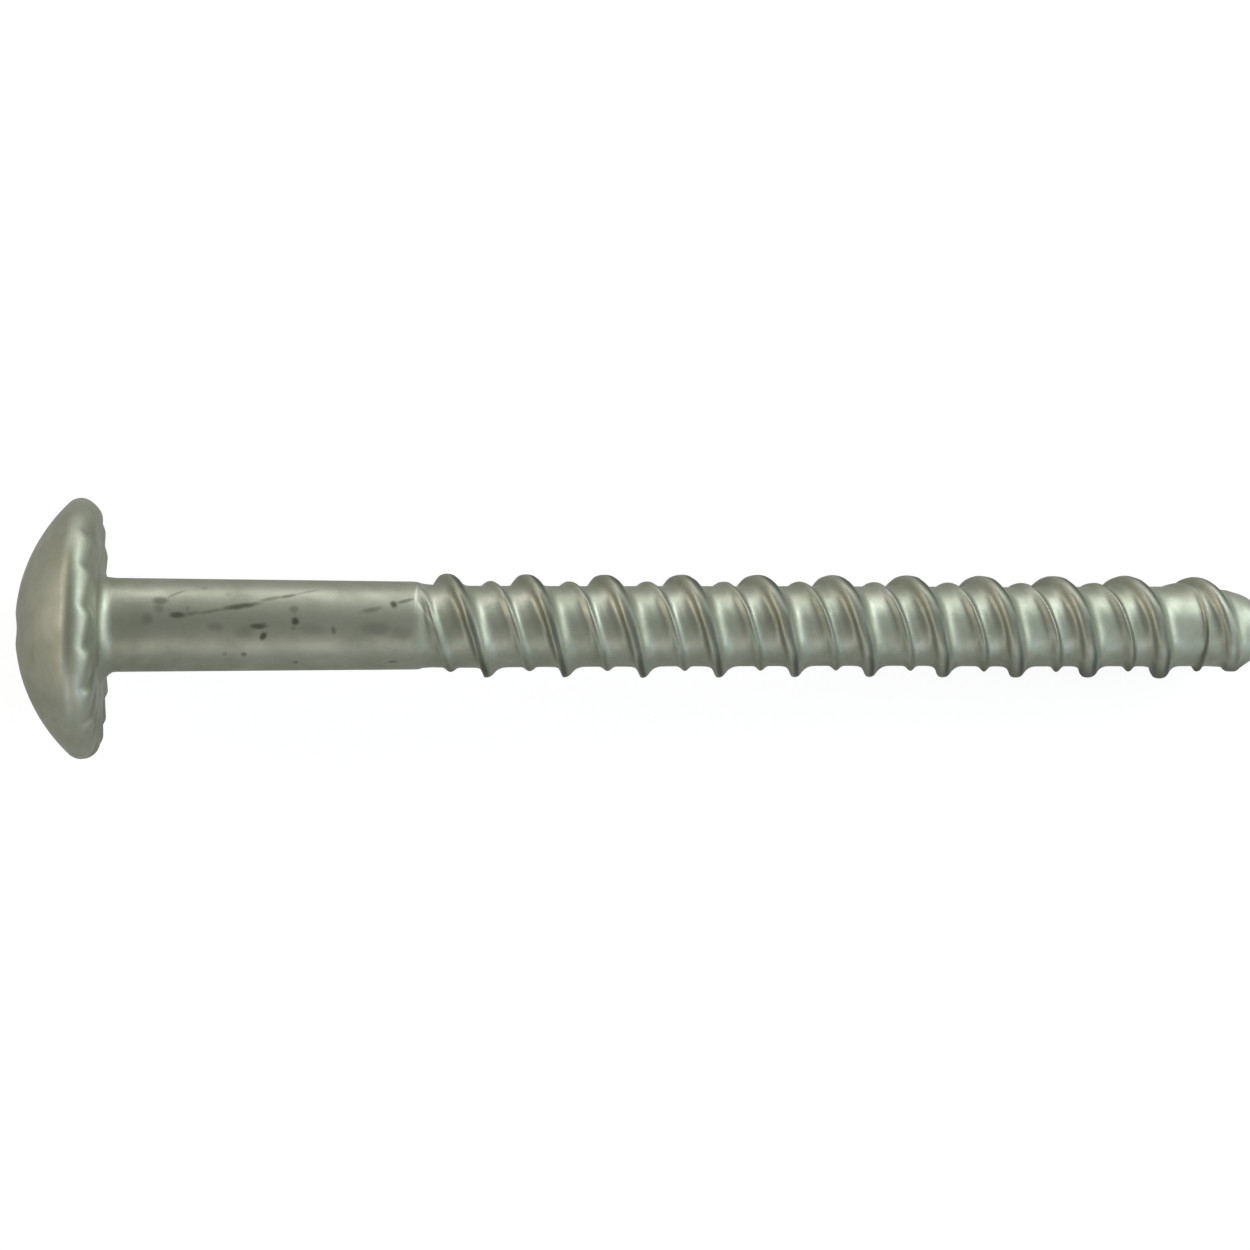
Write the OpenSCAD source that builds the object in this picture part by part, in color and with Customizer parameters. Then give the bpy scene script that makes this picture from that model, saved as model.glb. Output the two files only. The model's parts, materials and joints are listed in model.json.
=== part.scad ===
// Concrete screw in one piece: a domed head with a six-lobe socket and locking teeth underneath,
// a plain shank, and a right-hand thread with one high and one low ridge.
// It lies on its side, as it comes to rest: on the rim of its head and on a ridge near its tip.
// Millimetres. +X runs along the screw from head to tip, and +Z is up.

/* [Head] */
// Diameter of the head
head_d = 17; // [14:0.5:20]
// Height of the dome's top above the bearing face
head_h = 5.35; // [4.6:0.05:6.5]
// Height of the rim's widest place above the bearing face
rim_h = 1.1; // [1:0.02:1.6]
// Rounding from the rim into the dome
rim_top_r = 1.1; // [0.6:0.1:1.5]
// Rounding from the rim into the bearing face
rim_low_r = 1; // [0.4:0.05:1]
// Fillet from the bearing face into the shank
root_r = 0.75; // [0.3:0.05:1.2]

/* [Locking teeth] */
// Number of teeth under the head
tooth_count = 19; // [14:1:30]
// Depth of the notch beside a tooth, at the edge of the bearing face
tooth_depth = 0.24; // [0.1:0.02:0.4]
// Radius of the smooth ring inside the teeth
tooth_inner_r = 5; // [4.5:0.1:6]
// Turn of the teeth about the axis
tooth_turn = 5; // [0:1:18]

/* [Socket] */
// Size across opposite lobes
socket_d = 5.6; // [4.8:0.1:6.4]
// Size across the waists between the lobes
socket_waist_d = 4; // [3.2:0.1:4.6]
// Depth below the top of the dome
socket_depth = 3.2; // [2:0.1:3.8]
// Width of the cone in the socket's floor
socket_cone_d = 3; // [2:0.1:3.1]
// Depth of that cone
socket_cone_h = 0.6; // [0.3:0.1:0.8]

/* [Shank] */
// Length from the bearing face to the tip
length = 80; // [60:1:120]
// Length of the plain shank
shank_len = 20.2; // [10:0.1:40]
// Shank diameter under the head
shank_root_d = 6.1; // [5.9:0.05:6.6]
// Shank diameter where the thread starts
shank_end_d = 5.84; // [5.6:0.02:6.3]
// Radius of the round nose at the tip
nose_r = 2.58; // [2.2:0.02:2.7]

/* [Thread] */
// Advance in one turn
lead = 5.28; // [4:0.04:7]
// Core diameter at the first turn
core_d = 5.42; // [5.2:0.02:5.7]
// Height of the high ridge above the core
high_h = 0.76; // [0.5:0.02:1]
// Height of the low ridge above the core
low_h = 0.28; // [0.16:0.02:0.5]
// Distance along the axis from the high ridge to the low one behind it
low_gap = 2.92; // [2.2:0.02:3.2]
// Growth of the thread's diameter from its first turn to its last
growth_d = 0.14; // [0:0.02:0.4]
// Length over which the ridges rise from the shank
run_in = 2; // [1:0.1:4]
// Length over which the ridges sink into the nose
run_out = 2.4; // [1:0.1:5]
// Turn of the screw about its own axis as it lies
lie_turn = 210; // [0:12:348]

/* [Hidden] */
$fn = 96;
clear = 0.5;

// Head: the dome is the arc that meets the top of its axis and the rounding of the rim
head_r = head_d / 2;
rim_center = [head_r - rim_top_r, rim_h];
dome_rise = head_h - rim_h;
dome_r = (pow(rim_center.x, 2) + pow(dome_rise, 2) - pow(rim_top_r, 2)) / (2 * (dome_rise - rim_top_r));
dome_center = [0, head_h - dome_r];
dome_edge = dome_center + (rim_center - dome_center) * dome_r / (dome_r - rim_top_r);
face_r = head_r - rim_low_r;

// Socket: a wave with one crest at each lobe
lobes = 6;
socket_mean_r = (socket_d + socket_waist_d) / 4;
socket_wave = (socket_d - socket_waist_d) / 4;
socket_step = 5;

// Teeth
tooth_angle = 360 / tooth_count;
tooth_outer_r = head_r / cos(tooth_angle / 2) + clear;
tooth_outer_depth = tooth_depth * (tooth_outer_r - tooth_inner_r) / (face_r - tooth_inner_r);
tooth_overrun = 1.1;

// Thread: radius of the core and share of the ridges' height, along the axis. It ends on the nose
shank_root_r = shank_root_d / 2;
shank_end_r = shank_end_d / 2;
nose_from = length - nose_r;
nose_step = 10;
nose_end = 60;
thread_end = nose_from + nose_r * 0.8;
seat = 0.03;
sink = 0.5;
lap = 1;
core_stops = [
    [shank_len - lap, shank_end_r - sink],
    [shank_len, shank_end_r - seat],
    [shank_len + run_in / 2, core_d / 2],
    [nose_from - nose_r / 2, (core_d + growth_d) / 2],
    for (angle = [0 : nose_step : nose_end])
        [nose_from + nose_r * sin(angle), nose_r * cos(angle) - seat]
];
ridge_stops = [
    [shank_len, 0],
    [shank_len + run_in, 1],
    [thread_end - run_out, 1],
    [thread_end, 0]
];

// Outline of both ridges over one turn: place along the axis, height of the high ridge, of the low
crest_w = 0.26;
low_crest_w = 0.2;
ridge_outline = [
    [-0.5, 0, 0],
    [-0.32, high_h * 0.16, 0],
    [-0.28, high_h * 0.78, 0],
    [-crest_w / 2, high_h, 0],
    [crest_w / 2, high_h, 0],
    [0.34, high_h * 0.77, 0],
    [0.65, high_h * 0.33, 0],
    [0.95, high_h * 0.1, 0],
    [1.3, 0, 0],
    [low_gap - 0.45, 0, 0],
    [low_gap - low_crest_w / 2, 0, low_h],
    [low_gap + low_crest_w / 2, 0, low_h],
    [low_gap + 0.45, 0, 0]
];
columns = len(ridge_outline);
turn_steps = 30;
wind_from = shank_len - 2 * lead;
rows = turn_steps * ceil((length - wind_from) / lead);

// Rest: the tilt at which the rim and the first ridge to touch stand on the same plane
rim_low_center = [-rim_low_r, face_r];
floor_turn = (270 - lie_turn) / 360;
floor_places = [
    for (k = [0 : rows / turn_steps])
        let (at = wind_from + lead * (k + floor_turn) + crest_w / 2)
        if (at > shank_len && at < thread_end) at
];
lie_tilt = min([for (at = floor_places) touch_tilt([at, ridge_r(at)] - rim_low_center)]);
lie_lift = rim_low_center * [sin(lie_tilt), cos(lie_tilt)] + rim_low_r;
lie_left = -dome_center.y * cos(lie_tilt) - dome_r;
lie_right = nose_from * cos(lie_tilt) + nose_r;

function core_r(at) = lookup(at, core_stops);
function ridge_r(at) = core_r(at) + high_h * lookup(at, ridge_stops);
function touch_tilt(reach) = atan2(-reach.y, reach.x) + asin(rim_low_r / norm(reach));

// A point at a place along the axis, a distance from the axis and an angle about it
function around(at, r, angle) = [at, r * cos(angle), r * sin(angle)];

function thread_point(row, column) =
    let (
        shape = ridge_outline[column],
        at = wind_from + lead * row / turn_steps + shape.x,
        r = core_r(at) + (shape.y + shape.z) * lookup(at, ridge_stops)
    )
    around(at, r, 360 * row / turn_steps);

// The last column of a turn is the first column of the next
function thread_index(row, column) =
    column == columns ? thread_index(row + turn_steps, 0)
    : row <= rows ? row * columns + column
    : (rows + 1) * columns + row - rows - 1;

// A strip as wide as the lead, wound round the axis, with its two ends closed to the axis
module thread_strip() {
    start = (rows + 1) * columns + turn_steps;
    end = start + 1;
    polyhedron(
        points = [
            for (row = [0 : rows], column = [0 : columns - 1]) thread_point(row, column),
            for (row = [rows + 1 : rows + turn_steps]) thread_point(row, 0),
            [wind_from, 0, 0],
            [wind_from + lead * (rows / turn_steps + 1), 0, 0]
        ],
        faces = [
            for (row = [0 : rows - 1], column = [0 : columns - 1])
                let (
                    here = thread_index(row, column),
                    beside = thread_index(row, column + 1),
                    across = thread_index(row + 1, column + 1),
                    ahead = thread_index(row + 1, column)
                )
                each [[here, beside, across], [here, across, ahead]],
            for (row = [0 : turn_steps - 1])
                each [
                    [thread_index(row, 0), thread_index(row + 1, 0), start],
                    [thread_index(rows + row + 1, 0), thread_index(rows + row, 0), end]
                ],
            for (column = [0 : columns - 1])
                each [
                    [thread_index(0, column + 1), thread_index(0, column), start],
                    [thread_index(rows, column), thread_index(rows, column + 1), end]
                ]
        ],
        convexity = 10
    );
}

// Half the section of the head and shank, with the axis along Y and the bearing face at 0
module blank_section() {
    intersection() {
        translate(dome_center) circle(dome_r);
        translate([0, dome_edge.y]) square([dome_edge.x, head_h]);
    }
    intersection() {
        translate(rim_center) circle(rim_top_r);
        translate(rim_center) square(rim_top_r);
    }
    polygon([[0, 0], [face_r, 0], [face_r, rim_low_r], [head_r, rim_low_r],
        [head_r, rim_h], rim_center, dome_edge, [0, dome_edge.y]]);
    translate([face_r, rim_low_r]) circle(rim_low_r);
    difference() {
        translate([0, -root_r]) square(shank_root_r + root_r);
        translate([shank_root_r + root_r, -root_r]) circle(root_r);
        translate([shank_root_r + root_r, -root_r]) square(root_r + clear);
    }
    polygon([[0, 0], [shank_root_r, 0], [shank_root_r, -root_r], [shank_end_r, -shank_len],
        [0, -shank_len]]);
}

module along_axis() {
    rotate([0, -90, 0]) children();
}

module nose() {
    translate([nose_from, 0, 0])
        rotate([0, 90, 0])
            rotate_extrude()
                intersection() {
                    circle(nose_r);
                    square(nose_r);
                }
}

// The wound strip is cut square at both ends, inside the shank and inside the nose
module thread() {
    cut_from = shank_len - lap / 2;
    cut_to = nose_from + nose_r * sin(nose_end);
    intersection() {
        thread_strip();
        translate([cut_from, 0, 0]) rotate([0, 90, 0]) cylinder(r = head_r, h = cut_to - cut_from);
    }
}

module socket_cut() {
    translate([-head_h - clear, 0, 0])
        rotate([0, 90, 0])
            linear_extrude(socket_depth + clear)
                polygon([
                    for (angle = [0 : socket_step : 360 - socket_step])
                        (socket_mean_r + socket_wave * cos(lobes * angle)) * [cos(angle), sin(angle)]
                ]);
    translate([socket_depth - head_h - clear / 10, 0, 0])
        rotate([0, 90, 0])
            cylinder(h = socket_cone_h, d1 = socket_cone_d, d2 = 0);
}

// A notch: a ramp that sinks outwards and sideways, up to the steep wall of the next tooth
module tooth_cut() {
    wall_foot = around(-tooth_outer_depth, tooth_outer_r, 0);
    wall_end = around(0, tooth_inner_r, 0);
    ramp_end = around(0, tooth_outer_r, -tooth_angle);
    ramp = [
        wall_foot,
        wall_foot + (wall_end - wall_foot) * tooth_overrun,
        wall_foot + (ramp_end - wall_foot) * tooth_overrun
    ];
    polyhedron(
        points = [for (p = ramp) p, for (p = ramp) [clear, p.y, p.z]],
        faces = [[0, 1, 2], [5, 4, 3], [0, 3, 4, 1], [1, 4, 5, 2], [2, 5, 3, 0]]
    );
}

module screw() {
    color([0.58, 0.58, 0.53])
    translate([-(lie_left + lie_right) / 2, 0, lie_lift])
    rotate([0, lie_tilt, 0])
    rotate([lie_turn, 0, 0]) {
        difference() {
            along_axis() rotate_extrude() blank_section();
            socket_cut();
            for (k = [0 : tooth_count - 1]) rotate([tooth_turn + k * tooth_angle, 0, 0]) tooth_cut();
        }
        thread();
        nose();
    }
}

screw();
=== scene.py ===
# Looks of a concrete screw that lies on its side: zinc-coated steel on a pale floor.
import json
import math

import bpy
from mathutils import Matrix, Vector, noise


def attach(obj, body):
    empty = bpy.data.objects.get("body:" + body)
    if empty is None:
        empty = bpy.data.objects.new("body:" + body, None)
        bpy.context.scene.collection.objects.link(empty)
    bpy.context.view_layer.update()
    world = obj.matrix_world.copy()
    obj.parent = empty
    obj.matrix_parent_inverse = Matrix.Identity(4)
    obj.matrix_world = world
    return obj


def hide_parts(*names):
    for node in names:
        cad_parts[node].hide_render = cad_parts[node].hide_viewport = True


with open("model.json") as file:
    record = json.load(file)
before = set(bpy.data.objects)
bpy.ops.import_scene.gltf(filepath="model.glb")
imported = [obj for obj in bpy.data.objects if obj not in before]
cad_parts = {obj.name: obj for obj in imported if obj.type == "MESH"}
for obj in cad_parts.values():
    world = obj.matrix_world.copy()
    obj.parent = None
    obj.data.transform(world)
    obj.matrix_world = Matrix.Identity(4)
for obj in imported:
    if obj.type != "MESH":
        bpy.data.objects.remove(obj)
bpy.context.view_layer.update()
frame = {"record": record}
print("packed model loaded")

mm = 0.001
sameSpot = 1e-4  # millimetres: points closer than this are one


def eased(stops, at):
    # lookup in a list of (place, value), with soft corners
    if at <= stops[0][0]:
        return stops[0][1]
    for (low, a), (high, b) in zip(stops, stops[1:]):
        if at <= high:
            share = (at - low) / (high - low)
            return a + (b - a) * share * share * (3 - 2 * share)
    return stops[-1][1]


def editMode():
    bpy.ops.object.mode_set(mode="EDIT")


def objectMode():
    bpy.ops.object.mode_set(mode="OBJECT")


def pick(piece):
    # selects one piece and nothing else
    bpy.ops.object.select_all(action="DESELECT")
    piece.select_set(True)
    bpy.context.view_layer.objects.active = piece


def drawProfile(name, points):
    # one vertex, then extruded from point to point in the XY plane
    bpy.ops.object.select_all(action="DESELECT")
    bpy.ops.mesh.primitive_plane_add(size=1, location=(0, 0, 0))
    piece = bpy.context.object
    piece.name = name
    editMode()
    bpy.ops.mesh.select_all(action="SELECT")
    bpy.ops.mesh.merge(type="CENTER")
    last = Vector((points[0][0], points[0][1], 0))
    bpy.ops.transform.translate(value=last)
    for along, radius in points[1:]:
        place = Vector((along, radius, 0))
        bpy.ops.mesh.extrude_vertices_move(TRANSFORM_OT_translate={"value": place - last})
        last = place
    objectMode()
    return piece


def weld(piece):
    pick(piece)
    editMode()
    bpy.ops.mesh.select_all(action="SELECT")
    bpy.ops.mesh.remove_doubles(threshold=sameSpot)
    objectMode()


def shapeRound(piece, rule):
    # moves each vertex along the axis and away from it, by a rule on (along, radius, angle)
    for vertex in piece.data.vertices:
        along, across, up = vertex.co
        angle = math.atan2(up, across)
        along, radius = rule(along, math.hypot(across, up), angle)
        vertex.co = (along, radius * math.cos(angle), radius * math.sin(angle))


def selectRings(piece, places):
    # the edges that lie round the axis at given places along it, left selected in edit mode
    gap = 1e-3
    near = [any(abs(vertex.co.x - along) < gap for along in places) for vertex in piece.data.vertices]
    for vertex in piece.data.vertices:
        vertex.select = False
    for polygon in piece.data.polygons:
        polygon.select = False
    for edge in piece.data.edges:
        a, b = edge.vertices
        level = abs(piece.data.vertices[a].co.x - piece.data.vertices[b].co.x) < gap
        edge.select = near[a] and near[b] and level
        if edge.select:
            piece.data.vertices[a].select = piece.data.vertices[b].select = True
    editMode()
    bpy.ops.mesh.select_mode(type="EDGE")


def arc(centre, radius, start, end, steps):
    # points on an arc, in degrees from the axis' own direction towards the outside
    made = []
    for i in range(steps + 1):
        turn = math.radians(start + (end - start) * i / steps)
        made.append((centre[0] + radius * math.cos(turn), centre[1] + radius * math.sin(turn)))
    return made


# Head, socket and plain shank: one profile spun round the axis.
# What a user would change on them, in millimetres and degrees.
# "along" runs down the screw's own axis from the bearing face (0) to the tip.
screwSizes = {
    "headDiameter": 16.88,
    "headHeight": 5.35,
    "rimHeight": 1.2,  # of the rim's widest place above the bearing face
    "rimTopRound": 1.0,
    "rimLowRound": 1.18,
    "rootFillet": 0.95,
    "socketLobes": 6,
    "socketAcrossLobes": 5.6,
    "socketAcrossWaists": 4.0,
    "socketDepth": 3.2,
    "socketConeDiameter": 3.0,
    "socketConeDepth": 0.6,
    "socketLip": 0.2,  # from the socket's wall to the start of its rounded mouth
    "socketEdgeRound": 0.14,
    "socketFloorRound": 0.12,
    "toothCount": 19,
    "toothDepth": 0.28,
    "toothInnerRadius": 5,
    "firstToothCrest": -31.5,  # degrees from +Y towards +Z
    "toothRamp": (0.3, 0, 0.1, 0.22, 0.35, 0.49, 0.63, 0.78, 0.92, 1),  # share of the depth over one tooth
    "shankLength": 20.2,
    "shankRootDiameter": 6.1,
    "shankEndDiameter": 5.84,
    "length": 79.98,
    # how far the shank and thread stand off the head's axis, as (along, offset): a long blank is never true
    "sway": (
        (0, -0.03), (0.75, 0.204), (19.7, 0.204), (23.2, 0.13), (30, 0.163), (40, 0.2), (48, 0.228),
        (56, 0.23), (62, 0.2), (70, 0.25), (75, 0.25), (77.25, 0.15), (78.5, -0.01), (80, -0.02),
    ),
}

headRadius = screwSizes["headDiameter"] / 2
headHeight = screwSizes["headHeight"]
topRound = screwSizes["rimTopRound"]
lowRound = screwSizes["rimLowRound"]
rootFillet = screwSizes["rootFillet"]
rimCentre = (-screwSizes["rimHeight"], headRadius - topRound)
domeRise = headHeight - screwSizes["rimHeight"]
domeRadius = (rimCentre[1] ** 2 + domeRise ** 2 - topRound ** 2) / (2 * (domeRise - topRound))
domeCentre = domeRadius - headHeight
domeEdge = math.degrees(math.atan2(rimCentre[1], domeCentre - rimCentre[0]))
faceRadius = headRadius - lowRound
faceRings = (7.2, 6.8, 6.2, 5.6, 5, 4.4)  # the teeth fade in over them
socketMean = (screwSizes["socketAcrossLobes"] + screwSizes["socketAcrossWaists"]) / 4
socketWave = (screwSizes["socketAcrossLobes"] - screwSizes["socketAcrossWaists"]) / 4
socketFloor = screwSizes["socketDepth"] - headHeight
coneRadius = screwSizes["socketConeDiameter"] / 2
coneDepth = screwSizes["socketConeDepth"]
floorRound = screwSizes["socketFloorRound"]
mouth = socketMean + screwSizes["socketLip"]
shankStart = screwSizes["shankRootDiameter"] / 2
shankEnd = screwSizes["shankEndDiameter"] / 2
joinAt = 19.4  # where the wound half starts
spunEnd = joinAt - 0.5  # where the spun half ends, a gap that is bridged
toothInner = screwSizes["toothInnerRadius"]
stepsPerTooth = len(screwSizes["toothRamp"])
headSteps = screwSizes["toothCount"] * stepsPerTooth


def domeAt(radius):
    return domeCentre - math.sqrt(domeRadius ** 2 - radius ** 2)


def shankRadius(along):
    share = (along - rootFillet) / (screwSizes["shankLength"] - rootFillet)
    return shankStart + (shankEnd - shankStart) * share


# rings of the socket: radius, place below the dome or None, place along or None, share of the lobes
socketRings = (
    (0, None, socketFloor + coneDepth, 0),
    (coneRadius / 3, None, socketFloor + coneDepth * 2 / 3, 0),
    (coneRadius * 2 / 3, None, socketFloor + coneDepth / 3, 0),
    (coneRadius, None, socketFloor, 0),
    (socketMean - floorRound, None, socketFloor, 1),
    (socketMean, None, socketFloor - floorRound, 1),
    (socketMean, None, socketFloor - 1, 1),
    (socketMean, None, socketFloor - 2, 1),
    (socketMean, screwSizes["socketEdgeRound"], None, 1),
    (socketMean + 0.05, 0.045, None, 1),
    (mouth - 0.06, 0.01, None, 1),
    (mouth + 0.02, 0, None, 1),
    (mouth + 0.3, 0, None, 0.75),
    (mouth + 0.7, 0, None, 0.35),
)
socketReach = mouth + 1  # no ring of the socket stands further out
socketEnd = socketFloor + coneDepth + 0.1  # or deeper
domeStart = mouth + 1.15  # radius of the first ring of the bare dome


def ringAlong(ring, radius):
    return ring[2] if ring[1] is None else domeAt(radius) + ring[1]


profile = [(ringAlong(ring, ring[0]), ring[0]) for ring in socketRings]
domeFrom = math.degrees(math.asin(domeStart / domeRadius))
profile += arc((domeCentre, 0), domeRadius, 180 - domeFrom, 180 - domeEdge, steps=12)
profile += arc(rimCentre, topRound, 180 - domeEdge, 90, steps=8)[1:]
profile += arc((-lowRound, faceRadius), lowRound, 90, 0, steps=9)
profile += [(0, radius) for radius in faceRings]
profile += [
    (rootFillet - along, shankStart * 2 + rootFillet * 2 - radius)
    for along, radius in arc((0, shankStart + rootFillet), rootFillet, 0, 90, steps=6)
]
profile += [(along, shankRadius(along)) for along in range(2, math.ceil(spunEnd))]
profile.append((spunEnd, shankRadius(spunEnd)))

screwBody = drawProfile("screwBody", profile)
editMode()
bpy.ops.mesh.select_all(action="SELECT")
bpy.ops.mesh.spin(steps=headSteps, angle=math.tau, center=(0, 0, 0), axis=(1, 0, 0))
objectMode()
weld(screwBody)


def pressSocket(along, radius, angle):
    if radius > socketReach or along > socketEnd:
        return along, radius
    spot = (along, radius)
    ring = min(socketRings, key=lambda ring: math.dist((ringAlong(ring, ring[0]), ring[0]), spot))
    lobes = screwSizes["socketLobes"]
    radius = ring[0] + ring[3] * socketWave * math.cos(lobes * (angle - math.pi / lobes))
    return ringAlong(ring, radius), radius


def pressTeeth(along, radius, angle):
    # each tooth ramps down to the foot of the next one's steep wall, and fades in towards the shank
    if along < -lowRound or along > sameSpot or radius <= toothInner:
        return along, radius
    step = round((math.degrees(angle) - screwSizes["firstToothCrest"]) * headSteps / 360) % stepsPerTooth
    share = (min(radius, faceRadius) - toothInner) / (faceRadius - toothInner)
    depth = screwSizes["toothDepth"] * screwSizes["toothRamp"][step] * share
    return along - depth * (1 + along / lowRound), radius


shapeRound(screwBody, pressSocket)
shapeRound(screwBody, pressTeeth)
print("head, socket, teeth and shank made")

# Thread: one lead of the ridges' outline, wound by a Screw modifier.
# What a user would change on it, in millimetres. Stops are (place along the screw, value).
threadSizes = {
    "lead": 5.28,
    "turns": 13,
    "stepsPerTurn": 84,
    "crestAt": 17.1,  # a high crest on the +Y side
    "coreDiameter": 5.44,
    "coreFrom": 20.05,
    "coreStops": (
        (20.4, 2.89), (20.9, 2.78), (21.5, 2.74), (22.3, 2.735), (30, 2.715), (41, 2.727),
        (51, 2.73), (62, 2.76), (73, 2.81), (75, 2.79), (76.5, 2.75), (77.25, 2.7),
    ),
    "noseRadius": 2.62,
    "noseLength": 2.1,
    "noseRings": (0.85, 0.7, 0.52, 0.34, 0.17),  # share of the radius where the wound half ends
    "lowGap": 2.92,  # from a high crest to the next low one
    "lowBand": (2, 3.8),  # where the low ridge stands, past a high crest
    "plain": (1.75, 2.05, 3.7, 3.95),  # places on the bare core between the ridges
    # A ridge's outline is place from the crest and height above the core. The two rolling dies press it a
    # little unevenly, so its growth is place along, share on the +Y side and share on the -Y side. Its
    # painted shade, a dark line that stands in for the shade on the crest, is place from the crest and
    # share.
    "high": {
        "outline": (
            (-1.2, 0), (-0.85, 0.02), (-0.64, 0.07), (-0.49, 0.17), (-0.39, 0.33), (-0.31, 0.54),
            (-0.22, 0.69), (-0.12, 0.745), (-0.02, 0.755), (0.09, 0.74), (0.18, 0.7), (0.29, 0.59),
            (0.42, 0.42), (0.58, 0.25), (0.78, 0.12), (1.0, 0.045), (1.25, 0.01), (1.5, 0),
        ),
        "stops": ((20.0, 0), (20.9, 0.3), (22.1, 1), (74.5, 1), (75.4, 0.91), (77.7, 0.45), (79.3, 0)),
        "growth": ((24, 1.04, 0.9), (45, 1.02, 1.03), (66, 1.02, 1.04), (72, 1.0, 1.14)),
        "paintedShade": ((-0.12, 0), (0, 0.7), (0.08, 1), (0.2, 1), (0.34, 0)),
    },
    "low": {
        "outline": (
            (-0.55, 0), (-0.38, 0.03), (-0.25, 0.12), (-0.14, 0.235), (-0.06, 0.29), (0, 0.3),
            (0.06, 0.29), (0.14, 0.235), (0.25, 0.12), (0.38, 0.03), (0.55, 0),
        ),
        "stops": ((20.0, 0), (21.3, 0.7), (22.3, 1), (76, 1), (77.1, 0)),
        "growth": ((24, 1.1, 0.9), (45, 1.03, 1.04), (66, 0.93, 1.28)),
        "paintedShade": ((-0.05, 0), (0.02, 0.5), (0.1, 0.5), (0.22, 0)),
    },
    # how much wider the high ridge's flanks stand, towards the head and towards the tip, with places and
    # sides as in its growth, and the share of that by distance from the crest
    "headFlank": ((24, 0.08, -0.22), (45, 0.21, 0.0), (66, 0.18, 0.22)),
    "tipFlank": ((24, 0.15, 0.1), (45, 0.2, 0.08), (66, 0.14, 0.12)),
    "flankReach": ((0, 0), (0.3, 1), (0.75, 1), (1.45, 0)),
    # the same for both flanks of the low ridge, in full from lowFlankFrom outwards
    "lowFlank": 0.05,
    "lowFlankFrom": 0.3,
    "lowSlip": ((71.5, 0), (73, 1.25), (75.6, -0.2), (77, 0)),  # the last low turn wanders along the axis
    # wear of the crests: size of its waves, radius that they are drawn on, and how far they move a crest
    # up and along
    "wearSize": 0.9,
    "wearRadius": 3.2,
    "wearHeight": 0.03,
    "wearAlong": 0.05,
    "wearFull": 0.3,  # height above the core from which all of it counts
    # painted shade on the ridges' -Y side, which faces away from the key lights: more towards the tip, and
    # in full from a given height above the core
    "undersideShade": ((40, 0), (70, 1)),
    "undersideShadeHeight": 0.25,
    "undersideShadeFrom": 0.75,  # cosine of the angle from the -Y side where it starts
}

lead = threadSizes["lead"]
crestAt = threadSizes["crestAt"]
lowGap = threadSizes["lowGap"]
coreRadius = threadSizes["coreDiameter"] / 2
noseRadius = threadSizes["noseRadius"]
noseLength = threadSizes["noseLength"]
noseFrom = screwSizes["length"] - noseLength
coreFrom = threadSizes["coreFrom"]
coreStops = ((coreFrom, shankRadius(coreFrom)),) + threadSizes["coreStops"] + ((noseFrom, noseRadius),)

outline = list(threadSizes["high"]["outline"])
outline += [(lowGap + along, height) for along, height in threadSizes["low"]["outline"]]
outline += [(along, 0) for along in threadSizes["plain"]]
outline.append((lead + threadSizes["high"]["outline"][0][0], 0))
outline.sort()
thread = drawProfile("thread", [(crestAt - lead + along, coreRadius + height) for along, height in outline])
winding = thread.modifiers.new("winding", "SCREW")
winding.axis = "X"
winding.angle = math.tau
winding.screw_offset = lead
winding.steps = winding.render_steps = threadSizes["stepsPerTurn"]
winding.iterations = threadSizes["turns"]
winding.use_merge_vertices = False
bpy.ops.object.modifier_apply(modifier="winding")
weld(thread)


def noseAt(along):
    # radius of the round nose, a hair above 0 past the tip
    return noseRadius * math.sqrt(max(1 - ((along - noseFrom) / noseLength) ** 2, 1e-4))


def bareCore(along):
    if along <= coreStops[0][0]:
        return shankRadius(along)
    return noseAt(along) if along >= noseFrom else eased(coreStops, along)


def rolled(stops, along, angle):
    # a value that runs from one side of the thread to the other
    near, far = (eased([(stop[0], stop[side]) for stop in stops], along) for side in (1, 2))
    return (near + far) / 2 + (near - far) / 2 * math.cos(angle)


def ridgeAt(along, angle):
    # which ridge a point belongs to, and how far past its crest the point stands
    past = (along - crestAt - lead * angle / math.tau) % lead
    if threadSizes["lowBand"][0] < past < threadSizes["lowBand"][1]:
        return "low", past - lowGap
    return "high", past if past < lead / 2 else past - lead


def windRidges(along, radius, angle):
    name, fromCrest = ridgeAt(along, angle)
    ridge = threadSizes[name]
    height = (radius - coreRadius) * eased(ridge["stops"], along)
    worn = min(height / threadSizes["wearFull"], 1)
    height *= rolled(ridge["growth"], along, angle)
    outside = threadSizes["wearRadius"]
    spot = Vector((along, outside * math.cos(angle), outside * math.sin(angle))) / threadSizes["wearSize"]
    if name == "low":
        widened = threadSizes["lowFlank"] * max(-1, min(fromCrest / threadSizes["lowFlankFrom"], 1))
        along += eased(threadSizes["lowSlip"], along) + widened
    else:
        flankShare = eased(threadSizes["flankReach"], abs(fromCrest))
        if fromCrest > 0:
            along += flankShare * rolled(threadSizes["tipFlank"], along, angle)
        else:
            along -= flankShare * rolled(threadSizes["headFlank"], along, angle)
    radius = bareCore(along) + height + threadSizes["wearHeight"] * noise.noise(spot) * worn
    elsewhere = spot * 0.6 + Vector((9, 0, 0))  # longer waves, apart from those that move the crest up
    return along + threadSizes["wearAlong"] * noise.noise(elsewhere) * worn, radius


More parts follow.
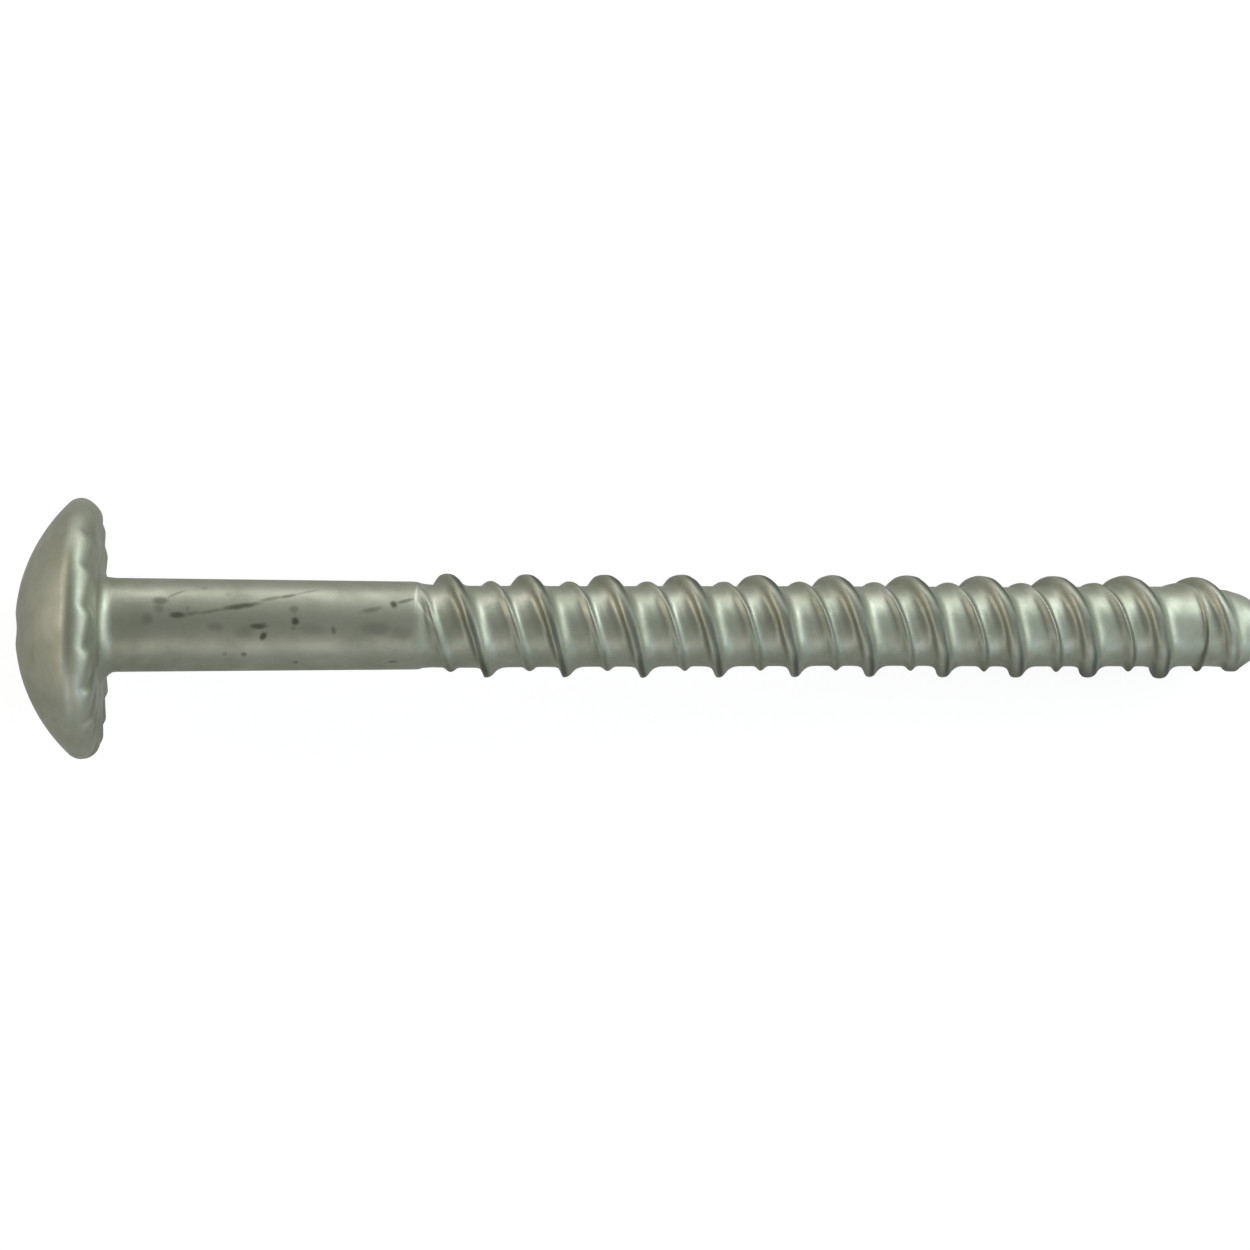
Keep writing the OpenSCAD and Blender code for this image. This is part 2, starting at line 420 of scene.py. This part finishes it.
def paintedShadeAt(along, radius, angle):
    # how much painted shade a point gets: a dark line on the tip's side of each crest, and the ridges' -Y
    # side, which faces away from the key lights
    name, fromCrest = ridgeAt(along, angle)
    line = eased(threadSizes[name]["paintedShade"], fromCrest) * eased(threadSizes[name]["stops"], along)
    start = threadSizes["undersideShadeFrom"]
    foot = eased(threadSizes["undersideShade"], along) * max(0, -math.cos(angle) - start) / (1 - start)
    return max(line, foot * max(0, min((radius - coreRadius) / threadSizes["undersideShadeHeight"], 1)))


# painted shade, kept on the thread's points before they are shaped
paintedShade = thread.data.attributes.new("paintedShade", "FLOAT", "POINT")
for vertex, amount in zip(thread.data.vertices, paintedShade.data):
    along, across, up = vertex.co
    amount.value = paintedShadeAt(along, math.hypot(across, up), math.atan2(up, across))
shapeRound(thread, windRidges)
tipCut = 79.4  # the wound half ends here
editMode()
bpy.ops.mesh.select_all(action="SELECT")
bpy.ops.mesh.bisect(plane_co=(joinAt, 0, 0), plane_no=(1, 0, 0), clear_inner=True)
bpy.ops.mesh.select_all(action="SELECT")
bpy.ops.mesh.bisect(plane_co=(tipCut, 0, 0), plane_no=(1, 0, 0), clear_outer=True)
objectMode()
print("thread wound")

# Nose: the last ring is drawn in, ring by ring, to the pole of the tip
selectRings(thread, [tipCut])
ringAt, ringRadius = tipCut, noseAt(tipCut)
for share in threadSizes["noseRings"]:
    nextRadius = noseAt(tipCut) * share
    nextAt = noseFrom + noseLength * math.sqrt(1 - (nextRadius / noseRadius) ** 2)
    bpy.ops.mesh.extrude_edges_move(TRANSFORM_OT_translate={"value": (nextAt - ringAt, 0, 0)})
    step = nextRadius / ringRadius
    bpy.ops.transform.resize(value=(1, step, step), center_override=(nextAt, 0, 0))
    ringAt, ringRadius = nextAt, nextRadius
bpy.ops.mesh.extrude_edges_move(TRANSFORM_OT_translate={"value": (screwSizes["length"] - ringAt, 0, 0)})
bpy.ops.mesh.merge(type="CENTER")
objectMode()

# Both halves become one skin
pick(screwBody)
thread.select_set(True)
bpy.ops.object.join()
selectRings(screwBody, [joinAt, spunEnd])
bpy.ops.mesh.bridge_edge_loops()
bpy.ops.mesh.select_all(action="SELECT")
bpy.ops.mesh.remove_doubles(threshold=sameSpot)
bpy.ops.mesh.normals_make_consistent(inside=False)
objectMode()
for vertex in screwBody.data.vertices:
    vertex.co.y += eased(screwSizes["sway"], vertex.co.x)
print("skin closed:", len(screwBody.data.polygons), "faces")

# Place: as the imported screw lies, which its bearing face gives
bearing = next(mount for mount in frame["record"]["mounts"] if mount["name"] == "bearing_face")
tilt = math.atan2(-bearing["axis"][2], bearing["axis"][0])
lying = (
    Matrix.Translation((bearing["pos_m"][0], 0, bearing["pos_m"][2]))
    @ Matrix.Rotation(tilt, 4, "Y")
    @ Matrix.Scale(mm, 4)
)
screwBody.matrix_world = lying
pick(screwBody)
bpy.ops.object.transform_apply(location=True, rotation=True, scale=True)
justAbove = 1e-6  # metres over the floor
for vertex in screwBody.data.vertices:
    # crests that the dies left a little proud rest flat on the floor
    vertex.co.z = max(vertex.co.z, justAbove)
sharpFrom = 50  # degrees: gentler edges are shaded smooth
bpy.ops.object.shade_smooth_by_angle(angle=math.radians(sharpFrom))
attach(screwBody, "root")
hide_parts("screw")
print("screw laid on its side")


def colour(hexCode):
    # sRGB hex to linear
    channels = [int(hexCode[i:i + 2], 16) / 255 for i in (1, 3, 5)]
    return [c / 12.92 if c <= 0.04045 else ((c + 0.055) / 1.055) ** 2.4 for c in channels] + [1]


def newMaterial(name):
    material = bpy.data.materials.new(name)
    material.use_nodes = True
    material.node_tree.nodes.clear()
    return material


def addNode(material, kind, settings):
    # one node: a setting is a property, or a socket by name or number, with its value or what links to it
    node = material.node_tree.nodes.new(kind)
    for name, value in settings.items():
        if isinstance(value, bpy.types.NodeSocket):
            material.node_tree.links.new(value, node.inputs[name])
        elif isinstance(name, int) or name in node.inputs:
            node.inputs[name].default_value = value
        else:
            setattr(node, name, value)
    return node


# Zinc-coated steel: cold-forged steel, barrel-plated with zinc and passivated. The coating is a dull grey
# metal with an olive cast, cloudy over millimetres, faintly grainy, and scuffed where screws rub against
# each other in the box.
zincLook = {
    "bright": "#a3a593",
    "cloud": "#909380",
    "scuff": "#58584a",
    "burr": "#c3c5b8",  # bare bright metal at the thread's start
    "crest": "#414439",  # painted shade: the dark line along the crests and the darker -Y side of the ridges
    "paintedShadeShare": 0.8,
    "cloudSize": 2.6,  # millimetres, as all sizes here
    "cloudRange": (0.35, 0.68),
    "grainSize": 0.16,  # a real coating's is finer: drawn as coarse as it needs to show
    "grainRange": (0.62, 0.74),
    "grainShare": 0.16,
    "grainDepth": 0.006,
    "rippleSize": 0.8,
    "rippleDepth": 0.012,
    "roughness": 0.47,
    "roughnessSpread": 0.06,
    "roughnessRange": (0.3, 0.7),
    "ragged": 0.15,  # width of the band that a scuff's edge wanders in
    "raggedWaves": 1.8,  # its waves in a millimetre
    "scuffSoftness": 0.55,  # share of a mark's size over which it fades
    "burrSoftness": 0.5,
    "burrHeight": 0.1,  # above the thread's core
    "markDepth": 1.2,  # half of a mark's thickness, which has to reach round the shank's curve
}

# scuffs on the shank: along, degrees about the axis, half length, half width, slant, strength
scuffs = (
    (3.90, 59, 0.46, 0.27, -1, 0.61), (3.81, 69, 0.33, 0.26, 76, 0.34), (4.90, 48, 0.60, 0.10, -30, 0.47),
    (4.99, 78, 0.47, 0.20, 0, 0.81), (5.82, 76, 0.50, 0.14, -11, 0.41), (5.60, 70, 0.14, 0.17, 0, 0.27),
    (7.07, 72.6, 0.88, 0.12, -11, 0.41), (8.93, 66, 1.11, 0.17, -10, 0.88),
    (10.95, 54.7, 0.74, 0.13, -14, 0.54), (11.94, 50.6, 0.51, 0.14, -13, 0.74),
    (13.09, 44.3, 0.79, 0.09, -17, 0.34), (10.06, 91.5, 0.53, 0.17, -3, 0.81),
    (10.29, 88.8, 0.31, 0.14, -11, 0.41), (10.36, 103.8, 0.19, 0.26, 25, 0.95),
    (12.40, 84.7, 0.23, 0.26, -11, 0.95), (12.35, 69.5, 0.27, 0.26, 6, 0.41),
    (12.29, 93.4, 0.18, 0.17, 76, 0.34), (14.84, 96.6, 0.15, 0.25, -15, 0.54),
    (17.30, 69.8, 0.63, 0.17, -14, 0.47), (18.73, 62, 0.20, 0.25, -8, 0.95),
    (19.50, 56.8, 0.57, 0.14, -18, 0.68), (17.60, 94.5, 0.92, 0.43, 4, 0.30),
    (19.25, 100, 0.70, 0.43, 3, 0.27), (9.14, 129, 0.16, 0.17, -61, 0.68),
    (7.92, 128, 0.14, 0.17, 0, 0.34), (12.45, 144, 0.13, 0.12, -7, 0.68),
    (18.70, 144, 0.28, 0.14, -2, 0.54), (6.66, 38, 0.24, 0.16, -1, 0.34), (8.16, 49, 0.21, 0.16, -1, 0.27),
    (3.08, 83, 0.33, 0.35, 27, 0.34), (7.33, 92, 0.49, 0.26, 4, 0.27), (9.15, 99, 0.56, 0.35, -4, 0.20),
    (13.50, 95, 0.85, 0.35, 5, 0.20),
    # on the sides that face away
    (4.6, 215, 0.7, 0.12, 12, 0.4), (8.2, 262, 0.24, 0.2, 0, 0.6), (11.5, 238, 1.2, 0.1, -9, 0.5),
    (14.9, 300, 0.5, 0.16, 8, 0.4), (17.2, 255, 0.3, 0.22, 0, 0.5), (6.9, 330, 0.8, 0.1, 14, 0.4),
    (15.8, 8, 0.4, 0.14, -6, 0.4), (13.2, 190, 0.3, 0.18, 20, 0.5),
)
# burrs on the thread's run-out, in the same terms
burrs = (
    (20.23, 43, 0.91, 0.09, 96, 0.8), (20.47, 66, 0.47, 0.09, 58, 0.7), (21.03, 82, 0.68, 0.08, 57, 0.55),
    (20.69, 24, 0.41, 0.10, 67, 0.5),
)

zinc = newMaterial("zincCoatedSteel")
surfacePoint = addNode(zinc, "ShaderNodeTexCoord", {})
# metres in the scene to millimetres along and across the screw itself
onScrew = addNode(zinc, "ShaderNodeMapping", {
    "vector_type": "TEXTURE",
    "Vector": surfacePoint.outputs["Object"],
    "Location": lying.translation,
    "Rotation": (0, tilt, 0),
    "Scale": (mm, mm, mm),
}).outputs["Vector"]
clouds = addNode(zinc, "ShaderNodeTexNoise", {
    "Vector": onScrew, "Scale": 1 / zincLook["cloudSize"], "Detail": 4, "Roughness": 0.6,
}).outputs["Fac"]
grain = addNode(zinc, "ShaderNodeTexNoise", {
    "Vector": onScrew, "Scale": 1 / zincLook["grainSize"], "Detail": 2, "Roughness": 0.7,
}).outputs["Fac"]
ripple = addNode(zinc, "ShaderNodeTexNoise", {
    "Vector": onScrew, "Scale": 1 / zincLook["rippleSize"], "Detail": 2,
}).outputs["Fac"]
# the same millimetres, shaken a little, for marks with ragged edges
wander = addNode(zinc, "ShaderNodeTexNoise", {
    "Vector": onScrew, "Scale": zincLook["raggedWaves"], "Detail": 3,
})
centred = addNode(zinc, "ShaderNodeVectorMath", {
    "operation": "SUBTRACT", 0: wander.outputs["Color"], 1: (0.5, 0.5, 0.5),
})
shaken = addNode(zinc, "ShaderNodeVectorMath", {
    "operation": "MULTIPLY_ADD", 0: centred.outputs["Vector"], 1: [zincLook["ragged"]] * 3, 2: onScrew,
}).outputs["Vector"]


def spread(marks, softness):
    # the strongest of a set of marks at each point: each is an ellipse laid on the shank
    strongest = 0
    for along, around, halfLength, halfWidth, slant, strength in marks:
        out = math.radians(around)
        onShank = along < screwSizes["shankLength"]
        reach = shankRadius(along) if onShank else coreRadius + zincLook["burrHeight"]
        offset = eased(screwSizes["sway"], along)
        laid = Matrix.Rotation(out - math.pi / 2, 3, "X") @ Matrix.Rotation(math.radians(-slant), 3, "Z")
        local = addNode(zinc, "ShaderNodeMapping", {
            "vector_type": "TEXTURE",
            "Vector": shaken,
            "Location": (along, reach * math.cos(out) + offset, reach * math.sin(out)),
            "Rotation": laid.to_euler(),
            "Scale": (halfLength, halfWidth, zincLook["markDepth"]),
        })
        distance = addNode(zinc, "ShaderNodeVectorMath", {
            "operation": "LENGTH", 0: local.outputs["Vector"],
        })
        faded = addNode(zinc, "ShaderNodeMapRange", {
            "interpolation_type": "SMOOTHSTEP",
            "Value": distance.outputs["Value"],
            "From Min": 1 + softness,
            "From Max": 1 - softness,
            "To Min": 0,
            "To Max": strength,
        })
        strongest = addNode(zinc, "ShaderNodeMath", {
            "operation": "MAXIMUM", 0: strongest, 1: faded.outputs["Result"],
        }).outputs["Value"]
    return strongest


cloudShare = addNode(zinc, "ShaderNodeMapRange", {
    "Value": clouds, "From Min": zincLook["cloudRange"][0], "From Max": zincLook["cloudRange"][1],
})
grainShare = addNode(zinc, "ShaderNodeMapRange", {
    "Value": grain, "From Min": zincLook["grainRange"][0], "From Max": zincLook["grainRange"][1],
    "To Max": zincLook["grainShare"],
})
# the painted shade on the thread: a dark line along each crest and a darker -Y side towards the tip
paintedShadeRead = addNode(zinc, "ShaderNodeAttribute", {"attribute_name": "paintedShade"})
paintedShadeShare = addNode(zinc, "ShaderNodeMapRange", {
    "Value": paintedShadeRead.outputs["Fac"], "To Max": zincLook["paintedShadeShare"],
})
shade = colour(zincLook["bright"])
for over, share in (
    ("cloud", cloudShare.outputs["Result"]),
    ("scuff", grainShare.outputs["Result"]),
    ("scuff", spread(scuffs, zincLook["scuffSoftness"])),
    ("burr", spread(burrs, zincLook["burrSoftness"])),
    ("crest", paintedShadeShare.outputs["Result"]),
):
    # a Mix node's sockets 6 and 7, and its output 2, are its colours
    mix = addNode(zinc, "ShaderNodeMix", {
        "data_type": "RGBA", 0: share, 6: shade, 7: colour(zincLook[over]),
    })
    shade = mix.outputs[2]
dullness = addNode(zinc, "ShaderNodeMapRange", {
    "Value": clouds,
    "From Min": zincLook["roughnessRange"][0],
    "From Max": zincLook["roughnessRange"][1],
    "To Min": zincLook["roughness"] - zincLook["roughnessSpread"],
    "To Max": zincLook["roughness"] + zincLook["roughnessSpread"],
})
ripples = addNode(zinc, "ShaderNodeBump", {
    "Strength": 1, "Distance": zincLook["rippleDepth"] * mm, "Height": ripple,
})
grains = addNode(zinc, "ShaderNodeBump", {
    "Strength": 1, "Distance": zincLook["grainDepth"] * mm, "Height": grain,
    "Normal": ripples.outputs["Normal"],
})
surface = addNode(zinc, "ShaderNodeBsdfPrincipled", {
    "Metallic": 1,
    "Base Color": shade,
    "Roughness": dullness.outputs["Result"],
    "Normal": grains.outputs["Normal"],
})
addNode(zinc, "ShaderNodeOutputMaterial", {"Surface": surface.outputs["BSDF"]})
screwBody.data.materials.append(zinc)
print("zinc coating made")

# Floor, light and camera. The floor glows with strength "glow": the camera sees the share "camera" of it
# and metal the share "mirror", so that the floor is pale without lighting the screw.
floorLook = {"side": 4, "colour": "#c6c5c1", "camera": 0.62, "mirror": 0.05, "glow": 1.38}
bpy.ops.object.select_all(action="DESELECT")
bpy.ops.mesh.primitive_plane_add(size=floorLook["side"], location=(0, 0, 0))
floor = bpy.context.object
floor.name = "floor"
paleFloor = newMaterial("paleFloor")
rays = addNode(paleFloor, "ShaderNodeLightPath", {})
seenInMetal = addNode(paleFloor, "ShaderNodeMath", {
    "operation": "ADD", 0: rays.outputs["Is Glossy Ray"], 1: rays.outputs["Is Transmission Ray"],
})
metalShare = addNode(paleFloor, "ShaderNodeMath", {
    "operation": "MULTIPLY", 0: seenInMetal.outputs["Value"], 1: floorLook["mirror"],
})
glowShare = addNode(paleFloor, "ShaderNodeMath", {
    "operation": "MULTIPLY_ADD", 0: rays.outputs["Is Camera Ray"], 1: floorLook["camera"],
    2: metalShare.outputs["Value"],
})
matt = addNode(paleFloor, "ShaderNodeBsdfDiffuse", {"Color": colour(floorLook["colour"])})
glow = addNode(paleFloor, "ShaderNodeEmission", {"Color": (1, 1, 1, 1), "Strength": floorLook["glow"]})
mixed = addNode(paleFloor, "ShaderNodeMixShader", {
    "Fac": glowShare.outputs["Value"], 1: matt.outputs["BSDF"], 2: glow.outputs["Emission"],
})
addNode(paleFloor, "ShaderNodeOutputMaterial", {"Surface": mixed.outputs["Shader"]})
floor.data.materials.append(paleFloor)

# The studio's walls are white to the camera, and light the screw with the share "ambient"
studioLook = {"colour": "#ffffff", "ambient": 0.32, "cameraGain": 0.68}
world = bpy.data.worlds.new("studio")
world.use_nodes = True
world.node_tree.nodes.clear()
bpy.context.scene.world = world
worldRays = addNode(world, "ShaderNodeLightPath", {})
worldLevel = addNode(world, "ShaderNodeMath", {
    "operation": "MULTIPLY_ADD", 0: worldRays.outputs["Is Camera Ray"], 1: studioLook["cameraGain"],
    2: studioLook["ambient"],
})
walls = addNode(world, "ShaderNodeBackground", {
    "Color": colour(studioLook["colour"]), "Strength": worldLevel.outputs["Value"],
})
addNode(world, "ShaderNodeOutputWorld", {"Surface": walls.outputs["Background"]})

# softbox: azimuth from +X towards +Y and elevation that it stands at, width, height, radiance, colour
softboxDistance = 0.4
softboxes = {
    "keyLow": (90, 6, 0.55, 0.10, 3.30, "#f9f7ff"),
    "keyMid": (58, 20, 0.35, 0.12, 2.30, "#eef6ff"),
    "keyTip": (45, 25, 0.28, 0.20, 3.70, "#e8f4ff"),
    "keyHead": (150, 25, 0.28, 0.20, 2.00, "#fff8f6"),
    "fillLow": (270, 20, 0.55, 0.12, 0.41, "#e1e8ff"),
    "fillMid": (270, 38, 0.55, 0.13, 0.95, "#fff8f7"),
    "tipLow": (0, 14, 0.30, 0.18, 2.90, "#ecf6ff"),
    "tipMid": (0, 30, 0.30, 0.10, 0.44, "#edf3ff"),
    "tipHigh": (0, 45, 0.30, 0.22, 1.13, "#d7eaff"),
    "tipFill": (315, 25, 0.28, 0.20, 1.50, "#c8e2ff"),
    "tipTop": (315, 60, 0.28, 0.20, 0.25, "#fff5e9"),
    "headLow": (180, 14, 0.30, 0.18, 1.70, "#fff2f0"),
    "headFill": (225, 25, 0.28, 0.20, 0.85, "#dbeeff"),
}
for name, (azimuth, elevation, width, height, radiance, tint) in softboxes.items():
    turn, rise = math.radians(azimuth), math.radians(elevation)
    towards = Vector((math.cos(turn) * math.cos(rise), math.sin(turn) * math.cos(rise), math.sin(rise)))
    light = bpy.data.lights.new(name, "AREA")
    light.shape = "RECTANGLE"
    light.size, light.size_y = width, height
    light.energy = radiance * math.pi * width * height
    light.color = colour(tint)[:3]
    box = bpy.data.objects.new(name, light)
    bpy.context.scene.collection.objects.link(box)
    facing = towards.to_track_quat("Z", "Y").to_matrix().to_4x4()
    box.matrix_world = Matrix.Translation(towards * softboxDistance) @ facing

viewpoint = {
    "place": (-16.894, 0.27, 148.489),  # millimetres
    "swing": 5.61,  # degrees towards the tip
    "roll": 0.13,
    "lens": 61.1,
}
swing, roll = math.radians(viewpoint["swing"]), math.radians(viewpoint["roll"])
forward = Vector((math.sin(swing), 0, -math.cos(swing)))
level = Vector((math.cos(swing), 0, math.sin(swing)))
upright = Vector((0, 1, 0))
right = level * math.cos(roll) + upright * math.sin(roll)
upward = upright * math.cos(roll) - level * math.sin(roll)
looking = Matrix((right, upward, -forward)).transposed().to_4x4()
camera = bpy.data.objects.new("camera", bpy.data.cameras.new("camera"))
bpy.context.scene.collection.objects.link(camera)
camera.data.sensor_width = 36
camera.data.lens = viewpoint["lens"]
camera.data.clip_start = 0.005
camera.matrix_world = Matrix.Translation(Vector(viewpoint["place"]) * mm) @ looking
bpy.context.scene.camera = camera
bpy.context.scene.view_settings.view_transform = "Standard"
print("floor, light and camera set")
